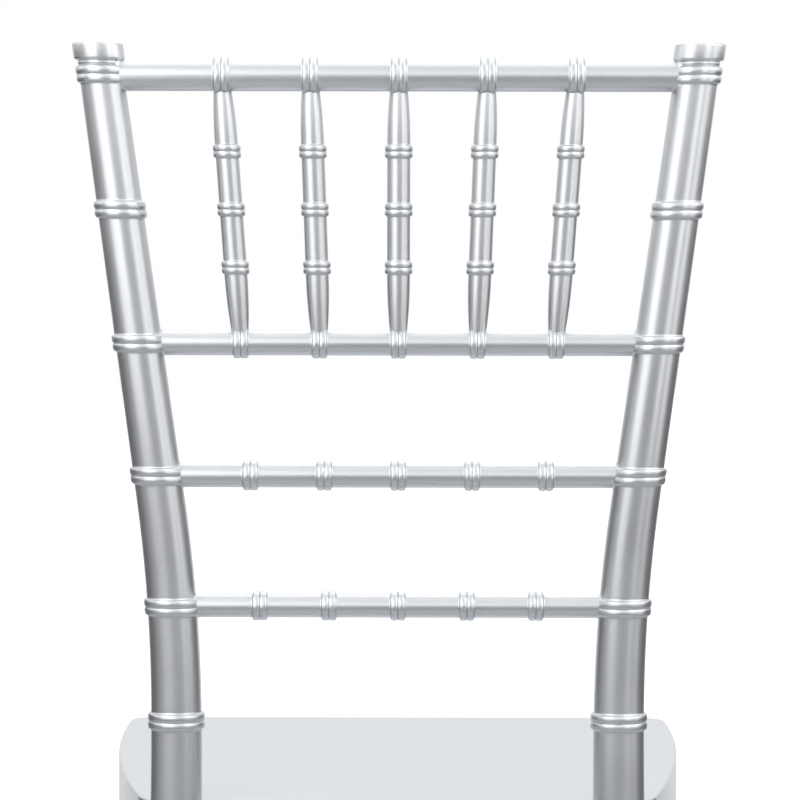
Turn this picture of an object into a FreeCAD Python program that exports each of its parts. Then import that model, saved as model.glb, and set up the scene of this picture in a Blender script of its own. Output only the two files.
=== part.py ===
import FreeCAD
import Part

import math
import os

from FreeCAD import Vector

# A stacking banquet chair of turned and bent wood, in millimetres.
# The floor is Z = 0, the sitter faces +Y, and the sitter's left is -X.

# Heights: two above the floor, then places above and below the seat's top
overall_height = 921.0
seat_height = 451.0
cap_height = 18.7
waist_ring_rise = 48.6
lower_rail_rise = 122.5
upper_stretcher_drop = 129.0
lower_stretcher_drop = 243.0

# Back posts: how far they stand in from the seat's back corners, and how they lean and bend
post_side_inset = 22.7
post_setback = 9.0
cap_spread = 46.0
cap_recline = 33.0
foot_spread = 25.0
foot_kick = 36.0
upper_bend_rise = 49.0
lower_bend_rise = 29.0
bend_length = 140.0
bend_steps = 4
back_rings = 5
post_top_radius = 13.6
post_seat_radius = 16.1
post_foot_radius = 12.5

# Cap of a back post, above its top ring
cap_radius = 15.6
cap_edge = 1.6
neck_radius = 12.4
neck_run_in = 1.3
neck_length = 3.2
cove_length = 3.0
round_steps = 2

# Rings: two beads side by side
post_bead_rise = 2.0
post_bead_pitch = 4.9
rail_bead_rise = 1.6
rail_bead_pitch = 4.3
spindle_bead_rise = 1.5
spindle_bead_pitch = 3.8
bead_groove = 0.4

# Rails across the back and the spindles between the upper two
top_rail_radius = 9.85
rail_radius = 7.6
top_collar_pitch = 54.4
lowest_collar_pitch = 43.7
collars_each_side = 2
rail_tenon_radius = 5.0
rail_tenon_depth = 12.0
spindle_radius = 7.1
spindle_end_radius = 4.5
spindle_taper_steps = 3
spindle_ring_offset = 35.5
spindle_tenon_radius = 3.2

# Front legs and stretchers
leg_inset = 25.0
leg_top_radius = 15.5
leg_foot_radius = 12.0
leg_tenon_radius = 9.0
leg_tenon_length = 22.0
leg_ring_drop = 16.0
stretcher_radius = 7.6
stretcher_tenon_radius = 4.5
mortise_web = 1.6

# Seat: four rails around an inset panel
seat_widest = 396.0
seat_depth = 390.0
seat_widest_setback = 50.0
seat_side_bow = 1570.0
seat_front_corner = 16.0
seat_back_corner = 14.0
seat_edge_round = 3.0
seat_rail_thickness = 38.0
seat_rail_width = 48.0
panel_thickness = 9.0
panel_lap = 10.0
dowel_radius = 4.0
dowel_length = 20.0
dowel_spread = 16.0
block_leg = 45.0
block_height = 25.0
block_screw_radius = 2.0
block_screw_reach = 11.0
block_screw_head_radius = 4.0
block_screw_head_height = 2.5

# Foot glides
glide_radius = 10.0
glide_height = 4.0
glide_chamfer = 1.0
nail_radius = 1.2
nail_length = 16.0
nail_head_radius = 3.5
nail_head_height = 1.0
nail_recess = 1.2

# Clearances
glue_gap = 0.15
tenon_end_gap = 0.6
cope_gap = 0.1
panel_gap = 0.1
nail_gap = 0.05

# How near two places must lie to count as one, when an edge is picked out
same_place = 0.01

# Worked out from the sizes above
rear_reach = max(foot_kick + post_foot_radius, cap_recline + cap_radius)
front_edge = (seat_depth + post_setback + rear_reach) / 2
back_edge = front_edge - seat_depth
post_line = back_edge - post_setback
front_joint = front_edge - seat_rail_width
back_joint = back_edge + seat_rail_width
seat_underside = seat_height - seat_rail_thickness
seat_middle = seat_height - seat_rail_thickness / 2
panel_bottom = seat_height - panel_thickness
top_rail_height = overall_height - cap_height
lower_rail_height = seat_height + lower_rail_rise
back_ring_pitch = (top_rail_height - lower_rail_height) / (back_rings - 1)
spindle_rail_height = lower_rail_height + 2 * back_ring_pitch
middle_rail_height = lower_rail_height + back_ring_pitch
waist_ring_height = seat_height + waist_ring_rise
upper_stretcher_height = seat_height - upper_stretcher_drop
lower_stretcher_height = seat_height - lower_stretcher_drop
upper_bend_bottom = seat_height + upper_bend_rise
lower_bend_top = seat_height + lower_bend_rise
stretcher_heights = {"upper": upper_stretcher_height, "lower": lower_stretcher_height}
sides = {"left": -1, "right": 1}


def ease(distance, length):
    """Distance gained past a bend: the slope grows evenly from 0 to 1 over the bend's length."""
    if distance <= 0:
        return 0.0
    if distance < length:
        return distance * distance / (2 * length)
    return distance - length / 2


def above_waist(height):
    return ease(height - upper_bend_bottom, bend_length)


def below_seat(height):
    return ease(lower_bend_top - height, bend_length)


def seat_half_width(y):
    """Half the seat's width at a distance forward: each side is one long arc."""
    off = y - (front_edge - seat_widest_setback)
    return seat_widest / 2 - (seat_side_bow - math.sqrt(seat_side_bow**2 - off**2))


def post_axis(side, height):
    """Centre of a back post at a height: it leans out and back above the waist and below the seat."""
    up = above_waist(height) / above_waist(overall_height)
    down = below_seat(height) / below_seat(0)
    half_span = seat_half_width(back_edge) - post_side_inset + cap_spread * up + foot_spread * down
    return Vector(side * half_span, post_line - cap_recline * up - foot_kick * down, height)


def post_radius(height):
    """The shaft is thickest at the seat and thins towards the foot and the cap."""
    if height < seat_height:
        return post_foot_radius + (post_seat_radius - post_foot_radius) * height / seat_height
    share = (height - seat_height) / (top_rail_height - seat_height)
    return post_seat_radius + (post_top_radius - post_seat_radius) * share


def leg_axis(side, height):
    """Centre of a front leg, which stands upright under the seat's front corner."""
    return Vector(side * (seat_half_width(front_edge) - leg_inset), front_edge - leg_inset, height)


def leg_radius(height):
    return leg_foot_radius + (leg_top_radius - leg_foot_radius) * height / seat_underside


def bead_pair(centre, radius, rise, pitch):
    """Stations of two beads with a groove between them, as (distance, radius) pairs."""
    return [
        (centre - pitch, radius),
        (centre - pitch / 2, radius + rise),
        (centre, radius + bead_groove),
        (centre + pitch / 2, radius + rise),
        (centre + pitch, radius),
    ]


def grown(stations, amount):
    return [(distance, radius + amount) for distance, radius in stations]


def turned(start, end, stations):
    """A straight turned piece: its outline is spun about the line from start to end."""
    direction = (end - start).normalize()
    outline = [Vector(stations[0][0], 0, 0)]
    outline += [Vector(distance, radius, 0) for distance, radius in stations]
    outline += [Vector(stations[-1][0], 0, 0)]
    face = Part.Face(Part.makePolygon(outline + outline[:1]))
    solid = face.revolve(Vector(0, 0, 0), Vector(1, 0, 0), 360)
    solid.Placement = FreeCAD.Placement(start, FreeCAD.Rotation(Vector(1, 0, 0), direction))
    return solid


def level_loft(centre_at, stations):
    """A bent post whose rings stay level: circles at each height, joined straight."""
    wires = []
    for height, radius in stations:
        circle = Part.makeCircle(radius, centre_at(height), Vector(0, 0, 1))
        wires.append(Part.Wire(circle))
    return Part.makeLoft(wires, True, True)


def rod(start, end, radius):
    """A plain cylinder between two points."""
    axis = end - start
    return Part.makeCylinder(radius, axis.Length, start, axis)


def post_stations():
    """Heights and radii up a back post: foot, rings, bends, neck and cap."""
    rings = [top_rail_height - i * back_ring_pitch for i in range(back_rings)]
    rings += [waist_ring_height, upper_stretcher_height, lower_stretcher_height]
    bends = []
    for low in (lower_bend_top - bend_length, upper_bend_bottom):
        bends += [low + bend_length * i / bend_steps for i in range(bend_steps + 1)]
    ring_reach = 2 * post_bead_pitch
    clear = [h for h in bends if all(abs(h - ring) > ring_reach for ring in rings)]
    stations = [(h, post_radius(h)) for h in [glide_height] + clear]
    for ring in rings:
        stations += bead_pair(ring, post_radius(ring), post_bead_rise, post_bead_pitch)
    return sorted(stations) + cap_stations()


def cap_stations():
    """A narrow neck, a cove that opens upward and a flat drum with a rounded edge."""
    neck = top_rail_height + post_bead_pitch
    cove = neck + neck_length
    edge = overall_height - cap_edge
    stations = [(neck + neck_run_in, neck_radius), (cove, neck_radius)]
    turns = [math.pi / 2 * i / round_steps for i in range(1, round_steps + 1)]
    for turn in turns:
        flare = (cap_radius - neck_radius) * (1 - math.cos(turn))
        stations.append((cove + cove_length * math.sin(turn), neck_radius + flare))
    stations.append((edge, cap_radius))
    for turn in turns:
        drawn_in = cap_edge * (1 - math.cos(turn))
        stations.append((edge + cap_edge * math.sin(turn), cap_radius - drawn_in))
    return stations


def make_post(side, growth=0.0):
    stations = grown(post_stations(), growth)
    return level_loft(lambda height: post_axis(side, height), stations)


def leg_stations():
    """Distances up a front leg from the floor: foot, rings, shoulder and tenon."""
    stations = [(glide_height, leg_radius(glide_height))]
    for ring in (lower_stretcher_height, upper_stretcher_height, seat_underside - leg_ring_drop):
        stations += bead_pair(ring, leg_radius(ring), post_bead_rise, post_bead_pitch)
    stations += [(seat_underside, leg_top_radius)]
    return stations


def make_leg(side, growth=0.0):
    stations = grown(leg_stations(), growth)
    if not growth:
        stations += [(seat_underside, leg_tenon_radius)]
        stations += [(seat_underside + leg_tenon_length, leg_tenon_radius)]
    return turned(leg_axis(side, 0), leg_axis(side, seat_height), stations)


def collar_pitch(height):
    """Collars draw together down the back, in line with the fanned spindles."""
    share = (top_rail_height - height) / (top_rail_height - lower_rail_height)
    return top_collar_pitch + (lowest_collar_pitch - top_collar_pitch) * share


def rail_ends(height):
    return post_axis(-1, height), post_axis(1, height)


def rail_stations(height, radius):
    """Distances along a back rail from the left post's centre: a plain rod with five collars."""
    start, end = rail_ends(height)
    length = (end - start).Length
    stations = [(0, radius)]
    for i in range(-collars_each_side, collars_each_side + 1):
        centre = length / 2 + i * collar_pitch(height)
        stations += bead_pair(centre, radius, rail_bead_rise, rail_bead_pitch)
    return stations + [(length, radius)]


def tenoned(body, start, end, radius, start_core, end_core, receivers):
    """Fit a stick between two members: cope its ends to them and run a round tenon into each.

    A core is how far from the member's centre line the tenon stops. The mortise tool that
    comes back is the tenon with its glue clearance.
    """
    along = (end - start).normalize()
    coped = body.cut(receivers)
    tenon = rod(start + along * start_core, end - along * end_core, radius)
    tool_start = start + along * (start_core - tenon_end_gap)
    tool_end = end - along * (end_core - tenon_end_gap)
    return coped.fuse(tenon).removeSplitter(), rod(tool_start, tool_end, radius + glue_gap)


def make_rail(height, radius, grown_posts):
    start, end = rail_ends(height)
    core = post_radius(height) - rail_tenon_depth
    body = turned(start, end, rail_stations(height, radius))
    return tenoned(body, start, end, rail_tenon_radius, core, core, grown_posts)


def collar_crest(height, radius):
    """The round face that a rail's beads reach, where a spindle's end is coped to it."""
    return rod(*rail_ends(height), radius + rail_bead_rise + cope_gap)


def spindle_line(index):
    """Axis of a spindle: from its collar on the spindle rail up to its collar on the top rail."""
    low = post_axis(0, spindle_rail_height) + Vector(index * collar_pitch(spindle_rail_height), 0, 0)
    high = post_axis(0, top_rail_height) + Vector(index * collar_pitch(top_rail_height), 0, 0)
    return low, high


def spindle_stations(length):
    """Distances and radii along a spindle: each end swells from its rail to the outer ring."""
    rings = [length / 2 + i * spindle_ring_offset for i in (-1, 0, 1)]
    first = rings[2] + spindle_bead_pitch
    taper = []
    for i in range(1, spindle_taper_steps + 1):
        share = i / spindle_taper_steps
        swell = (spindle_radius - spindle_end_radius) * (1 - share * share)
        taper.append((first + share * (length - first), spindle_end_radius + swell))
    stations = [(length - distance, radius) for distance, radius in reversed(taper)]
    for ring in rings:
        stations += bead_pair(ring, spindle_radius, spindle_bead_rise, spindle_bead_pitch)
    return stations + taper


def make_spindle(index, crests):
    low, high = spindle_line(index)
    body = turned(low, high, spindle_stations((high - low).Length))
    return tenoned(body, low, high, spindle_tenon_radius, 0, 0, crests)


def make_stretcher(start, end, receivers):
    body = rod(start, end, stretcher_radius)
    core = stretcher_tenon_radius + mortise_web
    return tenoned(body, start, end, stretcher_tenon_radius, core, core, receivers)


def prism(points, low, high):
    """An upright solid over a flat outline, between two heights."""
    corners = [Vector(x, y, low) for x, y in points]
    return Part.Face(Part.makePolygon(corners + corners[:1])).extrude(Vector(0, 0, high - low))


def seat_blank():
    """The seat's whole outline at full thickness: straight front and back, bowed sides."""
    middle = (front_edge + back_edge) / 2
    corners = {}
    for name, y in (("front", front_edge), ("middle", middle), ("back", back_edge)):
        for side_name, side in sides.items():
            corners[name, side_name] = Vector(side * seat_half_width(y), y, seat_underside)
    edges = [
        Part.makeLine(corners["front", "left"], corners["front", "right"]),
        Part.Arc(*[corners[name, "right"] for name in ("front", "middle", "back")]).toShape(),
        Part.makeLine(corners["back", "right"], corners["back", "left"]),
        Part.Arc(*[corners[name, "left"] for name in ("back", "middle", "front")]).toShape(),
    ]
    blank = Part.Face(Part.Wire(edges)).extrude(Vector(0, 0, seat_rail_thickness))
    for y, radius in ((front_edge, seat_front_corner), (back_edge, seat_back_corner)):
        upright = [e for e in blank.Edges if is_upright_at(e, y)]
        blank = blank.makeFillet(radius, upright)
    rim = [e for e in blank.Edges if e.BoundBox.ZMin > seat_height - same_place]
    return blank.makeFillet(seat_edge_round, rim)


def is_upright_at(edge, y):
    box = edge.BoundBox
    full_height = abs(box.ZLength - seat_rail_thickness) < same_place
    return full_height and abs(box.YMin - y) < same_place and abs(box.YMax - y) < same_place


def inner_half_width(y):
    """Inner face of the side seat rails: a straight line, one rail width inside the outline."""
    front_half = seat_half_width(front_joint) - seat_rail_width
    back_half = seat_half_width(back_joint) - seat_rail_width
    return back_half + (front_half - back_half) * (y - back_joint) / (front_joint - back_joint)


def inner_outline(front, back, margin=0.0):
    """A four-sided outline between two cross lines, a margin outside the inner faces."""
    front_half = inner_half_width(front) + margin
    back_half = inner_half_width(back) + margin
    return [(-front_half, front), (front_half, front), (back_half, back), (-back_half, back)]


def panel_outline(gap):
    return inner_outline(front_joint + panel_lap - gap, back_joint - panel_lap + gap, panel_lap - gap)


def make_seat_rails(blank):
    """The blank parted into four rails: the side rails run back from the front rail."""
    front_block = prism(
        inner_outline(front_edge, front_joint, seat_widest), seat_underside, seat_height
    )
    back_block = prism(inner_outline(back_joint, back_edge), seat_underside, seat_height)
    well = prism(inner_outline(front_joint, back_edge), seat_underside, seat_height)
    rails = {
        "front_seat_rail": blank.common(front_block),
        "back_seat_rail": blank.common(back_block),
    }
    flanks = blank.cut(front_block).cut(well).Solids
    for name, side in sides.items():
        rails[name + "_seat_rail"] = [s for s in flanks if s.CenterOfMass.x * side > 0][0]
    return rails


def seat_dowel_lines():
    """Axes of the dowels at the four seat corners, two over each other at each."""
    front_tip = front_edge - leg_inset - leg_tenon_radius - mortise_web
    back_y = back_edge + seat_rail_width / 2
    lines = []
    for side in sides.values():
        front_x = side * (inner_half_width(front_joint) + seat_rail_width / 2)
        back_x = side * inner_half_width(back_y)
        for z in (seat_middle - dowel_spread / 2, seat_middle + dowel_spread / 2):
            lines.append((Vector(front_x, front_tip - dowel_length, z), Vector(front_x, front_tip, z)))
            half = Vector(dowel_length / 2, 0, 0)
            lines.append((Vector(back_x, back_y, z) - half, Vector(back_x, back_y, z) + half))
    return lines


def post_dowel_lines():
    """Axes of the dowels that hold each side seat rail to the front of its back post."""
    lines = []
    for side in sides.values():
        centre = post_axis(side, seat_middle)
        face = centre + Vector(0, post_radius(seat_middle), 0)
        half = Vector(0, dowel_length / 2, 0)
        lines.append((face - half, face + half))
    return lines


def dowels_and_holes(lines):
    end = tenon_end_gap
    dowels = [rod(start, stop, dowel_radius) for start, stop in lines]
    holes = []
    for start, stop in lines:
        along = (stop - start).normalize()
        holes.append(rod(start - along * end, stop + along * end, dowel_radius + glue_gap))
    return dowels, holes


def block_corners():
    """Inner corners of the seat frame, each with its two directions along the rails."""
    corners = {}
    for name, side in sides.items():
        front = Vector(side * inner_half_width(front_joint), front_joint, 0)
        back = Vector(side * inner_half_width(back_joint), back_joint, 0)
        across = Vector(-side, 0, 0)
        forward = (front - back).normalize()
        corners["front_" + name] = (front, across, forward * -1)
        corners["back_" + name] = (back, across, forward)
    return corners


def make_block(corner, along_x, along_y):
    points = [corner, corner + along_x * block_leg, corner + along_y * block_leg]
    return prism([(p.x, p.y) for p in points], panel_bottom - block_height, panel_bottom)


def block_screw(corner, along_x, along_y, growth=0.0):
    """A screw from a corner block's long face, through its corner and into the seat frame."""
    outward = (along_x + along_y).normalize() * -1
    tip = corner + outward * block_screw_reach
    face = corner + (along_x + along_y) * (block_leg / 2)
    tip.z = face.z = seat_middle
    shank = rod(face, tip + outward * growth, block_screw_radius + growth)
    if growth:
        return shank
    head = rod(face - outward * block_screw_head_height, face, block_screw_head_radius)
    return head.fuse(shank).removeSplitter()


def make_glide(foot):
    """A plastic disc with a recessed hole for its nail."""
    hole = nail_radius + nail_gap
    seat = nail_recess + nail_head_height + nail_gap
    stations = [
        (0, nail_head_radius + nail_gap),
        (0, glide_radius - glide_chamfer),
        (glide_chamfer, glide_radius),
        (glide_height, glide_radius),
        (glide_height, hole),
        (seat, hole),
        (seat, nail_head_radius + nail_gap),
    ]
    points = [Vector(radius, 0, distance) for distance, radius in stations]
    face = Part.Face(Part.makePolygon(points + points[:1]))
    glide = face.revolve(Vector(0, 0, 0), Vector(0, 0, 1), 360)
    glide.translate(Vector(foot.x, foot.y, 0))
    return glide


def make_nail(foot, growth=0.0):
    base = Vector(foot.x, foot.y, nail_recess)
    head_top = base + Vector(0, 0, nail_head_height)
    tip = base + Vector(0, 0, nail_head_height + nail_length + growth)
    shank = rod(head_top, tip, nail_radius + growth)
    if growth:
        return shank
    return rod(base, head_top, nail_head_radius).fuse(shank).removeSplitter()


def cut_all(shape, tools):
    """Cut only with the tools whose boxes meet the shape."""
    near = [t for t in tools if t.BoundBox.intersect(shape.BoundBox)]
    return shape.cut(near) if near else shape


def build_back(grown_posts):
    """Four cross rails coped to the posts, and five spindles coped to the upper two of them."""
    rails = {
        "top_rail": (top_rail_height, top_rail_radius),
        "spindle_rail": (spindle_rail_height, rail_radius),
        "middle_back_rail": (middle_rail_height, rail_radius),
        "lower_back_rail": (lower_rail_height, rail_radius),
    }
    parts = {}
    post_mortises = []
    for name, (height, radius) in rails.items():
        parts[name], mortise = make_rail(height, radius, grown_posts)
        post_mortises.append(mortise)
    holders = ("top_rail", "spindle_rail")
    crests = [collar_crest(*rails[name]) for name in holders]
    rail_mortises = []
    for index in range(-collars_each_side, collars_each_side + 1):
        spindle, mortise = make_spindle(index, crests)
        parts["spindle_%d" % (index + collars_each_side + 1)] = spindle
        rail_mortises.append(mortise)
    for name in holders:
        parts[name] = cut_all(parts[name], rail_mortises)
    return parts, post_mortises


def build_stretchers(grown_posts):
    """Two stretchers on each of the four sides, coped to the posts and legs."""
    receivers = grown_posts + [make_leg(side, cope_gap) for side in sides.values()]
    parts = {}
    mortises = []
    for level, height in stretcher_heights.items():
        runs = {
            "front": (leg_axis(-1, height), leg_axis(1, height)),
            "back": (post_axis(-1, height), post_axis(1, height)),
            "left": (post_axis(-1, height), leg_axis(-1, height)),
            "right": (post_axis(1, height), leg_axis(1, height)),
        }
        for place, (start, end) in runs.items():
            stretcher, mortise = make_stretcher(start, end, receivers)
            parts["%s_%s_stretcher" % (place, level)] = stretcher
            mortises.append(mortise)
    return parts, mortises


def leg_bores():
    """Blind holes in the seat's underside for the front legs' tenons."""
    bores = []
    for side in sides.values():
        top = leg_axis(side, seat_underside + leg_tenon_length + tenon_end_gap)
        bores.append(rod(leg_axis(side, seat_underside), top, leg_tenon_radius + glue_gap))
    return bores


def build_seat(grown_posts):
    """The seat frame, notched round the posts, with its panel, dowels, blocks and screws."""
    seat_dowels, dowel_holes = dowels_and_holes(seat_dowel_lines())
    post_dowels, post_dowel_holes = dowels_and_holes(post_dowel_lines())
    corners = block_corners()
    pilots = [block_screw(*corner, growth=glue_gap) for corner in corners.values()]
    pocket = prism(panel_outline(0), panel_bottom, seat_height + panel_thickness)
    cuts = [pocket] + grown_posts + dowel_holes + post_dowel_holes + leg_bores() + pilots
    parts = {}
    for name, rail in make_seat_rails(seat_blank()).items():
        parts[name] = cut_all(rail, cuts)
    parts["seat_panel"] = prism(panel_outline(panel_gap), panel_bottom, seat_height)
    for name, corner in corners.items():
        parts[name + "_corner_block"] = cut_all(make_block(*corner), pilots)
    parts["corner_block_screws"] = Part.makeCompound([block_screw(*c) for c in corners.values()])
    parts["seat_frame_dowels"] = Part.makeCompound(seat_dowels)
    parts["post_dowels"] = Part.makeCompound(post_dowels)
    return parts, post_dowel_holes


def build_uprights(mortises):
    """Back posts and front legs with their mortises, each on a glide that is nailed to its foot."""
    parts = {}
    nails = []
    for name, side in sides.items():
        members = {"back_post": (make_post(side), post_axis), "front_leg": (make_leg(side), leg_axis)}
        for kind, (shape, axis) in members.items():
            end = kind.split("_")[0]
            foot = axis(side, glide_height)
            parts["%s_%s" % (kind, name)] = cut_all(shape, mortises + [make_nail(foot, nail_gap)])
            parts["%s_glide_%s" % (end, name)] = make_glide(foot)
            nails.append(make_nail(foot))
    parts["glide_nails"] = Part.makeCompound(nails)
    return parts


def build():
    grown_posts = [make_post(side, cope_gap) for side in sides.values()]
    back, back_mortises = build_back(grown_posts)
    stretchers, stretcher_mortises = build_stretchers(grown_posts)
    seat, dowel_holes = build_seat(grown_posts)
    uprights = build_uprights(back_mortises + stretcher_mortises + dowel_holes)
    return {**back, **stretchers, **seat, **uprights}


os.makedirs("parts", exist_ok=True)
for node, shape in build().items():
    shape.exportStep("parts/%s.step" % node)
    print(node, len(shape.Solids), round(shape.Volume), shape.isValid())
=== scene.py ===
# A silver banquet chair with turned, beaded posts and spindles, seen from behind.
# Metres, +Z up. The sitter faces +Y, so the camera stands behind, on -Y.
import math

import bpy
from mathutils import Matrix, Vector


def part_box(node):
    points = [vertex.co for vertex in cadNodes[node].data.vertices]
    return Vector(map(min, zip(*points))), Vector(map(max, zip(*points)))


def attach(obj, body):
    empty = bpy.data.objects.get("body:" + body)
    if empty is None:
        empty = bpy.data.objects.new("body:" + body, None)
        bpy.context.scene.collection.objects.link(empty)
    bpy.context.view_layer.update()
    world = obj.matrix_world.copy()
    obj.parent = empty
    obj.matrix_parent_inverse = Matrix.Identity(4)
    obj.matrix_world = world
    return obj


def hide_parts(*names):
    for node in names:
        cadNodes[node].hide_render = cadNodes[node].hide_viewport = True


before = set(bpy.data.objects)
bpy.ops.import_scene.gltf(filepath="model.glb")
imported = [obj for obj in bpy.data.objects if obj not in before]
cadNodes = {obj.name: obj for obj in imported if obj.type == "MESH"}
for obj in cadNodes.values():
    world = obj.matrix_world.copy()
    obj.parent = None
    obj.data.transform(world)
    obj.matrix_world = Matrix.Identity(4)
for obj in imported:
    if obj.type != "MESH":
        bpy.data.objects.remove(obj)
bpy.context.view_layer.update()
print("frame loaded:", len(cadNodes), "nodes")


# Places that the frame gives
def middleOf(node):
    low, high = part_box(node)
    return (low + high) / 2


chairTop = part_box("back_post_left")[1].z
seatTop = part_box("seat_panel")[1].z
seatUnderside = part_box("left_seat_rail")[0].z
backEdge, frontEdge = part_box("back_seat_rail")[0].y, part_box("front_seat_rail")[1].y
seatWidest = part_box("right_seat_rail")[1].x
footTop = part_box("back_glide_left")[1].z
topRailDrop = 0.0006  # the top rail sits this much lower than in the frame
topRail, spindleRail = middleOf("top_rail") - Vector((0, 0, topRailDrop)), middleOf("spindle_rail")
lowerRail = middleOf("lower_back_rail")
upperStretcher, lowerStretcher = middleOf("back_upper_stretcher"), middleOf("back_lower_stretcher")
frontLeg = middleOf("front_glide_right")


# Small helpers
smoothAngle = math.radians(35)  # edges that turn more than this stay crisp


def nothingSelected():
    if bpy.context.object and bpy.context.object.mode != "OBJECT":
        bpy.ops.object.mode_set(mode="OBJECT")
    bpy.ops.object.select_all(action="DESELECT")


def justThis(piece):
    nothingSelected()
    piece.select_set(True)
    bpy.context.view_layer.objects.active = piece


def choose(piece, kind, test):
    # in edit mode, picks the vertices, edges or faces whose places all pass the test
    justThis(piece)
    bpy.ops.object.mode_set(mode="EDIT")
    bpy.ops.mesh.select_mode(type=kind)
    bpy.ops.mesh.select_all(action="DESELECT")
    bpy.ops.object.mode_set(mode="OBJECT")
    mesh = piece.data
    parts = {"VERT": mesh.vertices, "EDGE": mesh.edges, "FACE": mesh.polygons}[kind]
    for part in parts:
        corners = [part.index] if kind == "VERT" else part.vertices
        part.select = all(test(mesh.vertices[i].co) for i in corners)
    bpy.ops.object.mode_set(mode="EDIT")


def settle(piece, material, *nodes):
    # the finished piece rides with the chair and stands for its CAD nodes
    justThis(piece)
    bpy.ops.object.mode_set(mode="EDIT")
    bpy.ops.mesh.select_all(action="SELECT")
    bpy.ops.mesh.normals_make_consistent(inside=False)
    bpy.ops.object.mode_set(mode="OBJECT")
    bpy.ops.object.shade_smooth_by_angle(angle=smoothAngle)
    piece.data.materials.clear()
    piece.data.materials.append(material)
    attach(piece, "root")
    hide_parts(*nodes)


ringTurns = {"x": (0, math.pi / 2, 0), "y": (math.pi / 2, 0, 0), "z": (0, 0, 0)}


def turnPiece(name, along, rings, sides):
    # like work on a lathe: one disc, drawn out and resized from ring to ring
    # each ring is (centre, radius) and stays square to the axis named by along
    nothingSelected()
    centre, radius = rings[0]
    bpy.ops.mesh.primitive_circle_add(vertices=sides, radius=radius, fill_type="NGON",
                                      location=centre, rotation=ringTurns[along])
    piece = bpy.context.object
    piece.name = piece.data.name = name
    bpy.ops.object.transform_apply(location=True, rotation=True, scale=True)
    bpy.ops.object.mode_set(mode="EDIT")
    bpy.ops.mesh.select_all(action="SELECT")
    for (fromCentre, fromRadius), (toCentre, toRadius) in zip(rings, rings[1:]):
        grow = toRadius / fromRadius
        bpy.ops.mesh.extrude_region_move(TRANSFORM_OT_translate={"value": toCentre - fromCentre})
        bpy.ops.transform.resize(value=[1 if axis == along else grow for axis in "xyz"],
                                 center_override=toCentre)
    bpy.ops.object.mode_set(mode="OBJECT")
    return piece


def mirrored(piece, name):
    # a right piece copied to the left
    justThis(piece)
    bpy.ops.object.duplicate(linked=False)
    twin = bpy.context.object
    twin.name = twin.data.name = name
    bpy.ops.object.mode_set(mode="EDIT")
    bpy.ops.mesh.select_all(action="SELECT")
    bpy.ops.transform.resize(value=(-1, 1, 1), center_override=(0, 0, 0))
    bpy.ops.mesh.normals_make_consistent(inside=False)
    bpy.ops.object.mode_set(mode="OBJECT")
    return twin


def beadRings(centre, bead, radiusAt):
    # two round beads side by side round a shaft, with a shallow groove between and hollow feet outside,
    # as far as the shoulders where the plain shaft goes on
    half = []
    for i in range(1, bead["steps"] + 1):
        turn = math.pi * i / bead["steps"]
        rise = bead["groove"] + (bead["rise"] - bead["groove"]) * math.sin(turn)
        half.append((bead["pitch"] * (1 - math.cos(turn)) / 2, rise))
    for i in range(1, bead["footSteps"] + 1):
        turn = math.pi / 2 * i / bead["footSteps"]
        half.append((bead["pitch"] + bead["foot"] * (1 - math.cos(turn)),
                     bead["groove"] * (1 - math.sin(turn))))
    half.append((bead["pitch"] + bead["shoulder"], 0))
    stops = [(-s, rise) for s, rise in reversed(half)] + [(0, bead["groove"])] + half
    return [(centre + s, radiusAt(centre + s) + rise) for s, rise in stops]


# Back posts: bent legs and uprights in one, leaning out and back above the seat
post = {
    "sides": 72,
    "sideInset": 0.0227, "setback": 0.009,
    "capSpread": 0.046, "capRecline": 0.033,
    "footSpread": 0.025, "footKick": 0.036,
    "upperBendRise": 0.049, "lowerBendRise": 0.029, "bendLength": 0.140, "bendSteps": 14,
    "topRadius": 0.0136, "seatRadius": 0.0161, "footRadius": 0.01247,
    "waistRingRise": 0.0511, "backRings": 5, "ringClear": 0.0073,
    "bead": {"pitch": 0.0049, "rise": 0.0020, "groove": 0.0011, "steps": 8, "foot": 0.0012,
             "footSteps": 4, "shoulder": 0.00168},
    "capRadius": 0.01557, "capEdge": 0.0018, "capSteps": 6, "capFlat": 0.0125, "underEdge": 0.0015,
    "neckRadius": 0.0130, "neckSwell": 0.0005, "neckStart": 0.0058, "neckEnd": 0.0085, "neckSteps": 6,
    "drumBottom": 0.0088,
}
# the seat's sizes come here already, as the posts stand in its outline
seat = {
    "sideBow": 1.570, "widestSetback": 0.050, "rows": 17, "overhang": 0.007,
    "frontCorner": 0.016, "backCorner": 0.022, "cornerSteps": 9,
    "rim": 0.0018, "rimSteps": 5, "lowerEdge": 0.001, "lowerSteps": 2, "hold": 0.001, "topHold": 0.003,
    "railWidth": 0.048, "panel": 0.009, "near": 0.00001,
}


def eased(distance):
    # how far a bend has carried the post sideways, for a slope that grows evenly
    length = post["bendLength"]
    if distance <= 0:
        return 0.0
    return distance * distance / (2 * length) if distance < length else distance - length / 2


def seatHalfWidth(y):
    off = y - (frontEdge - seat["widestSetback"])
    return seatWidest - (seat["sideBow"] - math.sqrt(seat["sideBow"] ** 2 - off ** 2))


upperBend, lowerBend = seatTop + post["upperBendRise"], seatTop + post["lowerBendRise"]
postLine = backEdge - post["setback"]
waistHalfSpan = seatHalfWidth(backEdge) - post["sideInset"]


def postCentre(side, z):
    up = eased(z - upperBend) / eased(chairTop - upperBend)
    down = eased(lowerBend - z) / eased(lowerBend)
    x = waistHalfSpan + post["capSpread"] * up + post["footSpread"] * down
    return Vector((side * x, postLine - post["capRecline"] * up - post["footKick"] * down, z))


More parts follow.
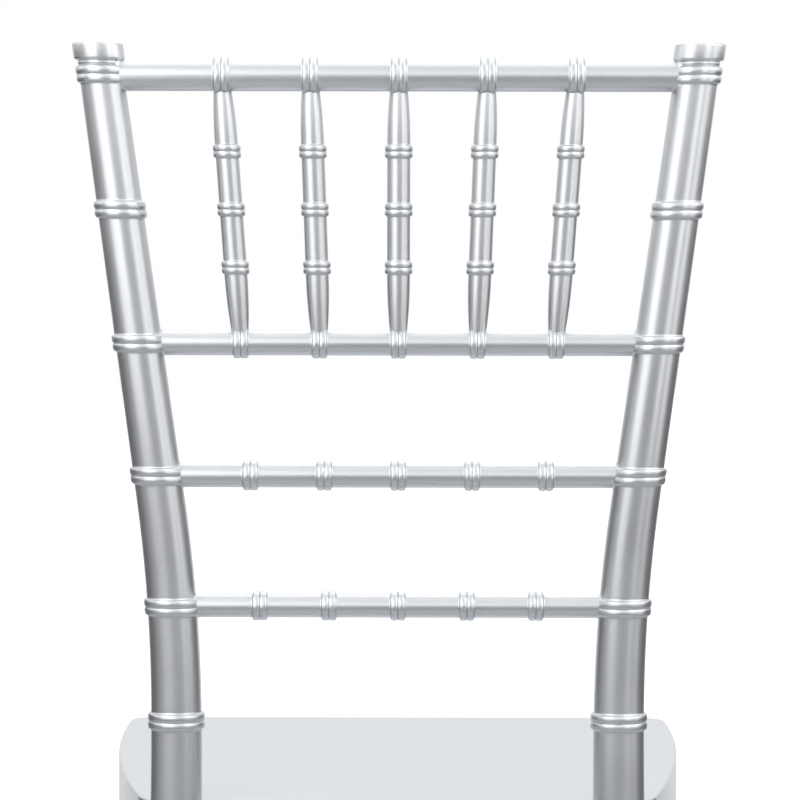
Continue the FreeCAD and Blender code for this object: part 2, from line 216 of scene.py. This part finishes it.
def postRadius(z):
    if z < seatTop:
        return post["footRadius"] + (post["seatRadius"] - post["footRadius"]) * z / seatTop
    share = (z - seatTop) / (topRail.z - seatTop)
    return post["seatRadius"] + (post["topRadius"] - post["seatRadius"]) * share


def postStops():
    ringPitch = (topRail.z - lowerRail.z) / (post["backRings"] - 1)
    rings = [lowerStretcher.z, upperStretcher.z, seatTop + post["waistRingRise"]]
    rings += [lowerRail.z + i * ringPitch for i in range(post["backRings"])]
    stops = []
    for ring in rings:
        stops += beadRings(ring, post["bead"], postRadius)
    # the neck takes over from the top ring's upper foot
    stops = [stop for stop in stops if stop[0] < topRail.z + post["neckStart"]]
    bends = [footTop]
    for start in (lowerBend - post["bendLength"], upperBend):
        bends += [start + post["bendLength"] * i / post["bendSteps"] for i in range(post["bendSteps"] + 1)]
    stops += [(z, postRadius(z)) for z in bends
              if all(abs(z - ring) > post["ringClear"] for ring in rings)]
    return sorted(stops)


def capStops():
    # a swelling neck under a flat drum, which is rounded above and below
    neck, neckTop = topRail.z + post["neckStart"], topRail.z + post["neckEnd"]
    stops = []
    for i in range(post["neckSteps"] + 1):
        share = i / post["neckSteps"]
        stops.append((neck + (neckTop - neck) * share,
                      post["neckRadius"] + post["neckSwell"] * math.sin(math.pi * share)))
    bottom, top = topRail.z + post["drumBottom"], chairTop - post["capEdge"]
    quarter = [math.pi / 2 * i / post["capSteps"] for i in range(post["capSteps"] + 1)]
    for turn in quarter:
        stops.append((bottom + post["underEdge"] * (1 - math.cos(turn)),
                      post["capRadius"] - post["underEdge"] * (1 - math.sin(turn))))
    for turn in quarter:
        stops.append((top + post["capEdge"] * math.sin(turn),
                      post["capRadius"] - post["capEdge"] * (1 - math.cos(turn))))
    stops.append((chairTop, post["capFlat"]))
    return stops


def makePost():
    rings = [(postCentre(1, z), radius) for z, radius in postStops() + capStops()]
    return turnPiece("back_post_right_turned", "z", rings, post["sides"])


# Rails across the back, each with five double collars and a small fillet at either post
rail = {
    "sides": 56,
    "radius": {"top_rail": 0.00985, "spindle_rail": 0.0076, "middle_back_rail": 0.0076,
               "lower_back_rail": 0.0073},
    "lift": {"lower_back_rail": 0.00045},
    "topPitch": 0.0542, "lowestPitch": 0.0429,
    "bead": {"pitch": 0.0044, "rise": 0.0019, "groove": 0.0011, "steps": 8, "foot": 0.0008,
             "footSteps": 3, "shoulder": 0.00112},
    "sideCollars": 2, "fillet": 0.0016, "filletSteps": 5, "shaftSides": 128, "shaftReach": 0.030,
    "endSink": 0.003, "hold": 0.001, "ringReach": 0.00001,
}


def collarPitch(z):
    share = (topRail.z - z) / (topRail.z - lowerRail.z)
    return rail["topPitch"] + (rail["lowestPitch"] - rail["topPitch"]) * share


def saddle(piece, rings, height):
    # lays the last rings at both ends onto the round of the posts, each a little further off
    shafts = []
    for side in (-1, 1):
        ends = [(postCentre(side, z), postRadius(z)) for z in (height - rail["shaftReach"],
                                                               height + rail["shaftReach"])]
        shafts.append(turnPiece("shaft", "z", ends, rail["shaftSides"]))
    nothingSelected()
    for shaft in shafts:
        shaft.select_set(True)
    bpy.ops.object.join()
    target = bpy.context.object
    for x, standOff in rings:
        choose(piece, "VERT", lambda place: abs(abs(place.x) - x) < rail["ringReach"])
        bpy.ops.object.vertex_group_add()
        bpy.ops.object.vertex_group_assign()
        bpy.ops.object.mode_set(mode="OBJECT")
        wrap = piece.modifiers.new("ontoPost", "SHRINKWRAP")
        wrap.target = target
        wrap.wrap_method = "PROJECT"
        wrap.use_project_x = True
        wrap.use_positive_direction = wrap.use_negative_direction = True
        wrap.offset = standOff
        wrap.vertex_group = piece.vertex_groups[-1].name
        bpy.ops.object.modifier_apply(modifier=wrap.name)
        bpy.ops.object.vertex_group_remove(all=True)
    justThis(target)
    bpy.ops.object.delete()


def makeRail(node):
    centre = topRail if node == "top_rail" else middleOf(node)
    centre = centre + Vector((0, 0, rail["lift"].get(node, 0)))
    radius = rail["radius"][node]
    halfSpan = postCentre(1, centre.z).x
    reach = halfSpan - postRadius(centre.z)
    half = []
    for i in range(rail["sideCollars"] + 1):
        collar = beadRings(i * collarPitch(centre.z), rail["bead"], lambda x: radius)
        half += [stop for stop in collar if stop[0] > 0]
    plainEnd = reach - rail["fillet"] - rail["hold"]
    half.append((plainEnd, radius))
    onPost = []
    for i in range(rail["filletSteps"] + 1):
        turn = math.pi / 2 * i / rail["filletSteps"]
        standOff = rail["fillet"] * (1 - math.sin(turn))
        onPost.append((reach - standOff, standOff))
        half.append((reach - standOff, radius + rail["fillet"] * (1 - math.cos(turn))))
    onPost.append((plainEnd, rail["fillet"] + rail["hold"]))
    half.append((halfSpan - rail["endSink"], radius + rail["fillet"]))
    stops = [(-x, r) for x, r in reversed(half)] + [(0, radius + rail["bead"]["groove"])] + half
    rings = [(Vector((x, centre.y, centre.z)), r) for x, r in stops]
    piece = turnPiece(node + "_turned", "x", rings, rail["sides"])
    saddle(piece, onPost, centre.z)
    return piece


# Spindles: five, fanned outward, each with three double beads and ends that taper to the rails
spindle = {
    "count": 5, "sides": 44, "radius": 0.0071, "endRadius": 0.0045, "taperSteps": 8,
    "ringOffset": 0.0355,
    "bead": {"pitch": 0.0038, "rise": 0.0015, "groove": 0.0008, "steps": 8, "foot": 0.0007,
             "footSteps": 3, "shoulder": 0.00098},
}


def spindleStops(length):
    half = length / 2
    stops = []
    for ring in (-spindle["ringOffset"], 0, spindle["ringOffset"]):
        stops += beadRings(half + ring, spindle["bead"], lambda s: spindle["radius"])
    shoulder = stops[-1][0]
    taper = []
    for i in range(1, spindle["taperSteps"] + 1):
        share = i / spindle["taperSteps"]
        radius = spindle["endRadius"] + (spindle["radius"] - spindle["endRadius"]) * (1 - share ** 2)
        taper.append((shoulder + share * (length - shoulder), radius))
    return [(length - s, r) for s, r in reversed(taper)] + stops + taper


def makeSpindle(number):
    place = number - (spindle["count"] + 1) / 2
    low = Vector((place * collarPitch(spindleRail.z), spindleRail.y, spindleRail.z))
    high = Vector((place * collarPitch(topRail.z), topRail.y, topRail.z))
    length = high.z - low.z
    rings = [(low.lerp(high, s / length), radius) for s, radius in spindleStops(length)]
    return turnPiece("spindle_%d_turned" % number, "z", rings, spindle["sides"])


# Seat: the painted frame and panel as one, with a well underneath up to the panel
def makeSeat():
    nothingSelected()
    rear = backEdge - seat["overhang"]
    rows = [rear + (frontEdge - rear) * i / seat["rows"] for i in range(seat["rows"] + 1)]
    step = rows[1] - rows[0]
    bpy.ops.mesh.primitive_plane_add(size=1, location=(0, rear + step / 2, seatUnderside))
    piece = bpy.context.object
    piece.name = piece.data.name = "painted_seat"
    bpy.ops.transform.resize(value=(2 * seatHalfWidth(rear), step, 1))
    bpy.ops.object.transform_apply(location=True, rotation=True, scale=True)
    choose(piece, "EDGE", lambda place: place.y > rear + step / 2)
    bpy.ops.transform.resize(value=(seatHalfWidth(rows[1]) / seatHalfWidth(rear), 1, 1),
                             center_override=(0, 0, 0))
    for y, nextY in zip(rows[1:], rows[2:]):
        bpy.ops.mesh.extrude_region_move(TRANSFORM_OT_translate={"value": (0, nextY - y, 0)})
        bpy.ops.transform.resize(value=(seatHalfWidth(nextY) / seatHalfWidth(y), 1, 1),
                                 center_override=(0, 0, 0))
    # drawn up to its thickness in three lifts, so that both rims keep a narrow band beside them
    thick = seatTop - seatUnderside
    lift, top = seat["lowerEdge"] + seat["hold"], seat["rim"] + seat["hold"]
    bpy.ops.mesh.select_all(action="SELECT")
    for height in (lift, thick - lift - top, top):
        bpy.ops.mesh.extrude_region_move(TRANSFORM_OT_translate={"value": (0, 0, height)})
    for edge, radius in ((frontEdge, seat["frontCorner"]), (rear, seat["backCorner"])):
        for corner in (-seatHalfWidth(edge), seatHalfWidth(edge)):
            choose(piece, "EDGE", lambda place: abs(place.y - edge) + abs(place.x - corner) < seat["near"])
            bpy.ops.mesh.bevel(offset=radius, segments=seat["cornerSteps"], profile=0.5, affect="EDGES")
    for height, width, steps in ((seatTop, seat["rim"], seat["rimSteps"]),
                                 (seatUnderside, seat["lowerEdge"], seat["lowerSteps"])):
        choose(piece, "FACE", lambda place: abs(place.z - height) < seat["near"])
        bpy.ops.mesh.dissolve_faces()
        bpy.ops.mesh.region_to_loop()
        bpy.ops.mesh.bevel(offset=width, segments=steps, profile=0.5, affect="EDGES")
        choose(piece, "FACE", lambda place: abs(place.z - height) < seat["near"])
        bpy.ops.mesh.inset(thickness=seat["topHold"])
    bpy.ops.object.mode_set(mode="OBJECT")
    # the well, cut with a block that has the outline of the frame's inner faces
    front, back = frontEdge - seat["railWidth"], backEdge + seat["railWidth"]
    frontHalf, backHalf = (seatHalfWidth(y) - seat["railWidth"] for y in (front, back))
    nothingSelected()
    bpy.ops.mesh.primitive_cube_add(size=1, location=(0, (front + back) / 2, seatUnderside))
    block = bpy.context.object
    bpy.ops.transform.resize(value=(2 * backHalf, front - back, 2 * (thick - seat["panel"])))
    bpy.ops.object.transform_apply(location=True, rotation=True, scale=True)
    choose(block, "VERT", lambda place: place.y > (front + back) / 2)
    bpy.ops.transform.resize(value=(frontHalf / backHalf, 1, 1), center_override=(0, 0, 0))
    bpy.ops.object.mode_set(mode="OBJECT")
    justThis(piece)
    cut = piece.modifiers.new("well", "BOOLEAN")
    cut.object = block
    cut.solver = "EXACT"
    bpy.ops.object.modifier_apply(modifier=cut.name)
    justThis(block)
    bpy.ops.object.delete()
    return piece


# Front legs and stretchers
leg = {
    "sides": 64, "topRadius": 0.0155, "footRadius": 0.0120, "topRingDrop": 0.016,
}
stretcher = {
    "sides": 44, "radius": 0.0076, "collars": 3,
}


def makeLeg():
    def radiusAt(z):
        return leg["footRadius"] + (leg["topRadius"] - leg["footRadius"]) * z / seatUnderside
    stops = [(footTop, radiusAt(footTop))]
    for ring in (lowerStretcher.z, upperStretcher.z, seatUnderside - leg["topRingDrop"]):
        stops += beadRings(ring, post["bead"], radiusAt)
    stops.append((seatUnderside, leg["topRadius"]))
    rings = [(Vector((frontLeg.x, frontLeg.y, z)), radius) for z, radius in stops]
    return turnPiece("front_leg_right_turned", "z", rings, leg["sides"])


def makeStretcher(name, along, start, end):
    line = end - start
    length = line.length
    stops = [(0, stretcher["radius"])]
    for i in range(stretcher["collars"]):
        centre = length * (i + 1) / (stretcher["collars"] + 1)
        stops += beadRings(centre, rail["bead"], lambda s: stretcher["radius"])
    stops.append((length, stretcher["radius"]))
    rings = [(start + line * (s / length), radius) for s, radius in stops]
    return turnPiece(name, along, rings, stretcher["sides"])


# Materials: small builders for node trees, all in object coordinates
def socket(tree, kind, name, way, value=None):
    made = tree.interface.new_socket(name=name, in_out=way, socket_type="NodeSocket" + kind)
    if value is not None:
        made.default_value = value


def placed(tree, kind, scale, stretch=(1, 1, 1)):
    # a texture laid over the piece in its own coordinates
    place, squeeze = tree.nodes.new("ShaderNodeTexCoord"), tree.nodes.new("ShaderNodeMapping")
    squeeze.inputs["Scale"].default_value = stretch
    texture = tree.nodes.new("ShaderNodeTex" + kind)
    texture.inputs["Scale"].default_value = scale
    tree.links.new(place.outputs["Object"], squeeze.inputs["Vector"])
    tree.links.new(squeeze.outputs["Vector"], texture.inputs["Vector"])
    return texture


def noise(tree, scale, detail, stretch=(1, 1, 1)):
    # runs to either side of nothing
    texture = placed(tree, "Noise", scale, stretch)
    texture.inputs["Detail"].default_value = detail
    return maths(tree, "SUBTRACT", texture.outputs["Fac"], 0.5)


def maths(tree, kind, first, second):
    made = tree.nodes.new("ShaderNodeMath")
    made.operation = kind
    for slot, value in zip(made.inputs, (first, second)):
        if isinstance(value, (int, float)):
            slot.default_value = value
        else:
            tree.links.new(value, slot)
    return made.outputs[0]


def mixed(tree, kind, factor, first, second):
    made = tree.nodes.new("ShaderNodeMix")
    made.data_type, made.blend_type = "RGBA", kind
    colours = made.inputs[6], made.inputs[7]  # the node's colour sockets
    for slot, value in zip((made.inputs["Factor"], *colours), (factor, first, second)):
        if isinstance(value, (int, float, tuple)):
            slot.default_value = value
        else:
            tree.links.new(value, slot)
    return made.outputs[2]


def grey(tree, value):
    made = tree.nodes.new("ShaderNodeCombineColor")
    for channel in ("Red", "Green", "Blue"):
        tree.links.new(value, made.inputs[channel])
    return made.outputs["Color"]


def principled(name):
    material = bpy.data.materials.new(name)
    material.use_nodes = True
    return material, material.node_tree, material.node_tree.nodes["Principled BSDF"]


def raised(tree, shader, height, strength, distance):
    bump = tree.nodes.new("ShaderNodeBump")
    bump.inputs["Strength"].default_value = strength
    bump.inputs["Distance"].default_value = distance
    tree.links.new(height, bump.inputs["Height"])
    tree.links.new(bump.outputs["Normal"], shader.inputs["Normal"])


paint = {
    "cloudScale": 28, "cloudDetail": 3, "cloudRoughness": 0.10, "flakeScale": 1400, "flakeDetail": 1,
    "flake": 0.16, "peelScale": 420, "peelDetail": 2,
    "dustScale": 36, "dustSize": 0.018, "dustRarity": 0.86, "dustDark": 0.45, "dustHeight": 0.4,
    "bumpDepth": 0.0004,
}


def paintGroup():
    # sprayed silver: faint clouds, metal flake, orange peel and rare specks of dust
    tree = bpy.data.node_groups.new("sprayedSilver", "ShaderNodeTree")
    socket(tree, "Color", "Paint", "INPUT", (0.8, 0.8, 0.8, 1))
    socket(tree, "Float", "Clouds", "INPUT", 0.04)
    socket(tree, "Float", "Roughness", "INPUT", 0.3)
    socket(tree, "Float", "Peel", "INPUT", 0.05)
    socket(tree, "Color", "Color", "OUTPUT")
    socket(tree, "Float", "Roughness", "OUTPUT")
    socket(tree, "Float", "Height", "OUTPUT")
    ins, outs = tree.nodes.new("NodeGroupInput"), tree.nodes.new("NodeGroupOutput")
    cloudy = noise(tree, paint["cloudScale"], paint["cloudDetail"])
    flake = noise(tree, paint["flakeScale"], paint["flakeDetail"])
    shade = maths(tree, "ADD", maths(tree, "MULTIPLY", cloudy, ins.outputs["Clouds"]),
                  maths(tree, "MULTIPLY", flake, paint["flake"]))
    dust = placed(tree, "Voronoi", paint["dustScale"])
    near = maths(tree, "LESS_THAN", dust.outputs["Distance"], paint["dustSize"])
    lot = tree.nodes.new("ShaderNodeSeparateColor")
    tree.links.new(dust.outputs["Color"], lot.inputs["Color"])
    speck = maths(tree, "MULTIPLY", near, maths(tree, "GREATER_THAN", lot.outputs["Red"],
                                                paint["dustRarity"]))
    bright = maths(tree, "SUBTRACT", maths(tree, "ADD", shade, 1.0),
                   maths(tree, "MULTIPLY", speck, paint["dustDark"]))
    tree.links.new(mixed(tree, "MULTIPLY", 1.0, ins.outputs["Paint"], grey(tree, bright)),
                   outs.inputs["Color"])
    tree.links.new(maths(tree, "ADD", ins.outputs["Roughness"],
                         maths(tree, "MULTIPLY", cloudy, paint["cloudRoughness"])),
                   outs.inputs["Roughness"])
    peel = maths(tree, "MULTIPLY", noise(tree, paint["peelScale"], paint["peelDetail"]),
                 ins.outputs["Peel"])
    tree.links.new(maths(tree, "ADD", peel, maths(tree, "MULTIPLY", speck, paint["dustHeight"])),
                   outs.inputs["Height"])
    return tree


silverGroup = paintGroup()


def silverPaint(name, settings):
    material, tree, shader = principled(name)
    group = tree.nodes.new("ShaderNodeGroup")
    group.node_tree = silverGroup
    group.inputs["Paint"].default_value = settings["colour"]
    group.inputs["Clouds"].default_value = settings["clouds"]
    group.inputs["Roughness"].default_value = settings["roughness"]
    group.inputs["Peel"].default_value = settings["peel"]
    raised(tree, shader, group.outputs["Height"], settings["bump"], paint["bumpDepth"])
    tree.links.new(group.outputs["Color"], shader.inputs["Base Color"])
    tree.links.new(group.outputs["Roughness"], shader.inputs["Roughness"])
    shader.inputs["Metallic"].default_value = settings["metallic"]
    return material


turnedPaint = silverPaint("turnedPaint", {
    "colour": (0.573, 0.592, 0.617, 1), "clouds": 0.04, "roughness": 0.36, "peel": 0.2, "bump": 0.08,
    "metallic": 0.85})
seatPaint = silverPaint("seatPaint", {
    "colour": (0.620, 0.645, 0.672, 1), "clouds": 0.02, "roughness": 0.34, "peel": 0.2, "bump": 0.06,
    "metallic": 0.8})


def surface(name, settings, pattern):
    # a bare material: two tones, roughness and relief all follow one pattern
    material, tree, shader = principled(name)
    height = pattern(tree, settings)
    share = maths(tree, "ADD", height, 0.5)
    tree.links.new(mixed(tree, "MIX", share, settings["dark"], settings["pale"]),
                   shader.inputs["Base Color"])
    tree.links.new(maths(tree, "ADD", maths(tree, "MULTIPLY", height, settings["roughnessSpread"]),
                         settings["roughness"]), shader.inputs["Roughness"])
    shader.inputs["Metallic"].default_value = settings["metallic"]
    raised(tree, shader, height, settings["bump"], settings["bumpDepth"])
    return material


def longGrain(tree, settings):
    # grain along the piece with short darker rays, as on beech
    grain = noise(tree, settings["scale"], settings["detail"], settings["stretch"])
    rays = noise(tree, settings["rayScale"], settings["rayDetail"], settings["rayStretch"])
    return maths(tree, "ADD", maths(tree, "MULTIPLY", grain, settings["grainShare"]),
                 maths(tree, "MULTIPLY", rays, settings["rayShare"]))


def evenGrain(tree, settings):
    return noise(tree, settings["scale"], settings["detail"])


beech = surface("bareBeech", {
    "pale": (0.62, 0.40, 0.22, 1), "dark": (0.46, 0.27, 0.13, 1), "scale": 60, "detail": 4,
    "stretch": (0.12, 1, 1), "grainShare": 1.2, "rayScale": 420, "rayDetail": 1,
    "rayStretch": (0.25, 1, 1), "rayShare": 0.5, "roughness": 0.62, "roughnessSpread": 0.15,
    "metallic": 0, "bump": 0.25, "bumpDepth": 0.0003}, longGrain)
zinc = surface("zincSteel", {
    "pale": (0.66, 0.67, 0.69, 1), "dark": (0.48, 0.49, 0.52, 1), "scale": 900, "detail": 3,
    "roughness": 0.36, "roughnessSpread": 0.3, "metallic": 1, "bump": 0.1, "bumpDepth": 0.0001}, evenGrain)
nylon = surface("greyNylon", {
    "pale": (0.30, 0.30, 0.31, 1), "dark": (0.22, 0.22, 0.23, 1), "scale": 700, "detail": 3,
    "roughness": 0.5, "roughnessSpread": 0.25, "metallic": 0, "bump": 0.2, "bumpDepth": 0.0002}, evenGrain)

# Every CAD node gets its finish
for nodeName, node in cadNodes.items():
    finish = turnedPaint
    if "seat" in nodeName:
        finish = seatPaint
    if "block" in nodeName or "dowel" in nodeName:
        finish = beech
    if "screw" in nodeName or "nail" in nodeName:
        finish = zinc
    if nodeName.endswith(("glide_left", "glide_right")):
        finish = nylon
    node.data.materials.clear()
    node.data.materials.append(finish)
print("materials ready")

# Turned pieces
rightPost = makePost()
leftPost = mirrored(rightPost, "back_post_left_turned")
settle(rightPost, turnedPaint, "back_post_right")
settle(leftPost, turnedPaint, "back_post_left")
print("posts turned")

for node in rail["radius"]:
    settle(makeRail(node), turnedPaint, node)
print("rails turned")

for number in range(1, spindle["count"] + 1):
    settle(makeSpindle(number), turnedPaint, "spindle_%d" % number)
print("spindles turned")

settle(makeSeat(), seatPaint, "front_seat_rail", "back_seat_rail", "left_seat_rail", "right_seat_rail",
       "seat_panel")
print("seat made")

rightLeg = makeLeg()
leftLeg = mirrored(rightLeg, "front_leg_left_turned")
settle(rightLeg, turnedPaint, "front_leg_right")
settle(leftLeg, turnedPaint, "front_leg_left")
for level, height in (("upper", upperStretcher.z), ("lower", lowerStretcher.z)):
    back, front = postCentre(1, height), Vector((frontLeg.x, frontLeg.y, height))
    acrossBack = Vector((-back.x, back.y, back.z))
    acrossFront = Vector((-front.x, front.y, front.z))
    settle(makeStretcher("back_%s_stretcher_turned" % level, "x", acrossBack, back), turnedPaint,
           "back_%s_stretcher" % level)
    settle(makeStretcher("front_%s_stretcher_turned" % level, "x", acrossFront, front), turnedPaint,
           "front_%s_stretcher" % level)
    rightOne = makeStretcher("right_%s_stretcher_turned" % level, "y", back, front)
    leftOne = mirrored(rightOne, "left_%s_stretcher_turned" % level)
    settle(rightOne, turnedPaint, "right_%s_stretcher" % level)
    settle(leftOne, turnedPaint, "left_%s_stretcher" % level)
print("legs and stretchers turned")

# Floor, world, lamps and camera
# The floor is grey round the chair, where its shadow falls, and fades to white further off; close round
# the chair it also glows faintly, a painted pool of light that the camera and reflections see
stage = {
    "floorSize": 40, "floorColour": (0.60, 0.61, 0.63, 1), "floorRoughness": 0.8, "floorShine": 0.1,
    "poolCentre": (0, -1.5, 0), "poolRadius": 2.7, "poolFade": 1.4, "paintedPoolNear": 0.28,
    "paintedPoolFall": 0.16, "paintedPoolLeast": 0.05, "air": 0.30,
}


def seenDirectly(tree):
    # 1 for what the camera sees itself, in a reflection or through glass
    light = tree.nodes.new("ShaderNodeLightPath")
    direct = maths(tree, "MAXIMUM", light.outputs["Is Camera Ray"], light.outputs["Is Glossy Ray"])
    return maths(tree, "MAXIMUM", direct, light.outputs["Is Transmission Ray"])


bpy.ops.mesh.primitive_plane_add(size=stage["floorSize"], location=(0, 0, 0))
floor = bpy.context.object
floor.name = "floor"
floorMaterial, floorTree, floorShader = principled("paleFloor")
floorShader.inputs["Base Color"].default_value = stage["floorColour"]
floorShader.inputs["Roughness"].default_value = stage["floorRoughness"]
floorShader.inputs["Specular IOR Level"].default_value = stage["floorShine"]
floorPlace = floorTree.nodes.new("ShaderNodeTexCoord")
fromPool = floorTree.nodes.new("ShaderNodeVectorMath")
fromPool.operation = "DISTANCE"
floorTree.links.new(floorPlace.outputs["Object"], fromPool.inputs[0])
fromPool.inputs[1].default_value = stage["poolCentre"]
beyond = maths(floorTree, "DIVIDE", maths(floorTree, "SUBTRACT", fromPool.outputs["Value"],
                                          stage["poolRadius"]), stage["poolFade"])
# painted pool of light: the floor glows brighter the nearer it is to the chair, down to a faint least glow
# further off
fromChair = floorTree.nodes.new("ShaderNodeVectorMath")
fromChair.operation = "LENGTH"
floorTree.links.new(floorPlace.outputs["Object"], fromChair.inputs[0])
fading = maths(floorTree, "MULTIPLY", fromChair.outputs["Value"], stage["paintedPoolFall"])
paintedPool = maths(floorTree, "MAXIMUM", maths(floorTree, "SUBTRACT", stage["paintedPoolNear"], fading),
              stage["paintedPoolLeast"])
# the floor's glow: white far off, and the painted pool of light near the chair
whiteFarAndPaintedPool = maths(floorTree, "MINIMUM", maths(floorTree, "MAXIMUM", beyond, paintedPool), 1.0)
floorShader.inputs["Emission Color"].default_value = (1, 1, 1, 1)
floorTree.links.new(maths(floorTree, "MULTIPLY", whiteFarAndPaintedPool, seenDirectly(floorTree)),
                    floorShader.inputs["Emission Strength"])
floor.data.materials.append(floorMaterial)

# Low cards that only reflections see: dark ones at the sides draw the posts' outlines, and a grey ring
# behind the camera keeps the lower half of the room darker than the upper half
cards = {
    "centre": (0, -0.2), "sideSize": (1.5, 0.85), "sideDistance": 1.45, "sideTurn": 118,
    "sideColour": (0.08, 0.08, 0.08, 1), "ringRadius": 2.6, "ringHeight": 0.70, "ringSides": 48,
    "ringColour": (0.50, 0.50, 0.50, 1), "ringEnd": 0.3, "roughness": 0.9,
}


def cardPaint(name, colour):
    material, tree, shader = principled(name)
    shader.inputs["Base Color"].default_value = colour
    shader.inputs["Roughness"].default_value = cards["roughness"]
    return material


def makeCard(card, name, material):
    card.name = name
    card.visible_camera = card.visible_diffuse = card.visible_shadow = False
    card.data.materials.append(material)


darkCard = cardPaint("darkCard", cards["sideColour"])
greyCard = cardPaint("greyCard", cards["ringColour"])
for side in (-1, 1):
    turn = math.radians(cards["sideTurn"])
    nothingSelected()
    bpy.ops.mesh.primitive_plane_add(size=1, rotation=(math.pi / 2, 0, side * turn), location=(
        cards["centre"][0] + side * cards["sideDistance"] * math.sin(turn),
        cards["centre"][1] - cards["sideDistance"] * math.cos(turn), cards["sideSize"][1] / 2))
    bpy.context.object.scale = (*cards["sideSize"], 1)
    bpy.ops.object.transform_apply(location=True, rotation=True, scale=True)
    makeCard(bpy.context.object, "card_left" if side < 0 else "card_right", darkCard)
nothingSelected()
bpy.ops.mesh.primitive_cylinder_add(vertices=cards["ringSides"], radius=cards["ringRadius"],
                                    depth=cards["ringHeight"], end_fill_type="NOTHING",
                                    location=(*cards["centre"], cards["ringHeight"] / 2))
ringCard = bpy.context.object
# the part round the front of the chair is left out, measured from the ring's own centre
choose(ringCard, "FACE", lambda place: place.y > cards["ringEnd"])
bpy.ops.mesh.delete(type="FACE")
bpy.ops.object.mode_set(mode="OBJECT")
makeCard(ringCard, "card_ring", greyCard)

world = bpy.data.worlds.new("studio")
bpy.context.scene.world = world
world.use_nodes = True
sky = world.node_tree
air = sky.nodes["Background"]
air.inputs["Color"].default_value = (1, 1, 1, 1)
air.inputs["Strength"].default_value = stage["air"]
white = sky.nodes.new("ShaderNodeBackground")
white.inputs["Color"].default_value = (1, 1, 1, 1)
eitherOne = sky.nodes.new("ShaderNodeMixShader")
sky.links.new(seenDirectly(sky), eitherOne.inputs["Fac"])
sky.links.new(air.outputs[0], eitherOne.inputs[1])
sky.links.new(white.outputs[0], eitherOne.inputs[2])
sky.links.new(eitherOne.outputs[0], sky.nodes["World Output"].inputs["Surface"])

# Soft lamps; glow is how bright a lamp's face looks, where white is 1
lampColour = (1, 0.985, 0.96)
lamps = {
    "strip_left": {"at": (-0.37, -0.85, 0.96), "aim": (0, -0.2, 0.91), "size": (0.30, 0.88), "glow": 2.0},
    "side_left": {"at": (-0.59, -0.66, 0.95), "aim": (0, -0.2, 0.90), "size": (0.30, 0.90), "glow": 1.65},
    "far_left": {"at": (-1.49, -0.07, 1.25), "aim": (0, -0.2, 0.95), "size": (0.42, 0.9), "glow": 1.05},
    "strip_right": {"at": (0.53, -0.73, 0.94), "aim": (0, -0.2, 0.89), "size": (0.24, 0.92), "glow": 1.85},
    "side_right": {"at": (0.72, -0.39, 0.93), "aim": (0, -0.2, 0.88), "size": (0.24, 0.94), "glow": 1.35},
    "far_right": {"at": (1.49, -0.07, 1.25), "aim": (0, -0.2, 0.95), "size": (0.42, 0.9), "glow": 1.6},
    "high_left": {"at": (-1.13, -0.85, 2.0), "aim": (0, -0.2, 0.9), "size": (1.0, 0.6), "glow": 2.6},
    "high_right": {"at": (1.13, -0.85, 2.0), "aim": (0, -0.2, 0.9), "size": (1.0, 0.6), "glow": 3.0},
    "overhead": {"at": (0, -0.1, 2.3), "aim": (0, -0.1, 0), "size": (1.6, 1.3), "glow": 0.9},
    "over_front": {"at": (0, 1.2, 2.2), "aim": (0, -0.1, 0.7), "size": (1.8, 1.0), "glow": 1.3},
    "front_fill": {"at": (0, -2.5, 1.35), "aim": (0, -0.2, 1.0), "size": (1.6, 0.9), "glow": 0.6},
}
for lampName, lamp in lamps.items():
    data = bpy.data.lights.new(lampName, "AREA")
    data.shape = "RECTANGLE"
    data.size, data.size_y = lamp["size"]
    data.color = lampColour
    data.energy = lamp["glow"] * math.pi * lamp["size"][0] * lamp["size"][1]
    made = bpy.data.objects.new(lampName, data)
    bpy.context.scene.collection.objects.link(made)
    made.location = lamp["at"]
    made.visible_camera = False
    aim = Vector(lamp["aim"]) - made.location
    made.rotation_euler = aim.to_track_quat("-Z", "Y").to_euler()

shot = {"at": (0.0009, -2.234, 0.7787), "sensor": 36, "lens": 149.04, "tilt": 2.1265, "roll": -0.12}
cameraData = bpy.data.cameras.new("camera")
camera = bpy.data.objects.new("camera", cameraData)
bpy.context.scene.collection.objects.link(camera)
cameraData.sensor_width = shot["sensor"]
cameraData.lens = shot["lens"]
camera.location = shot["at"]
camera.rotation_euler = (math.radians(90 - shot["tilt"]), math.radians(shot["roll"]), 0)
bpy.context.scene.camera = camera
bpy.context.scene.view_settings.view_transform = "Standard"
print("stage set")
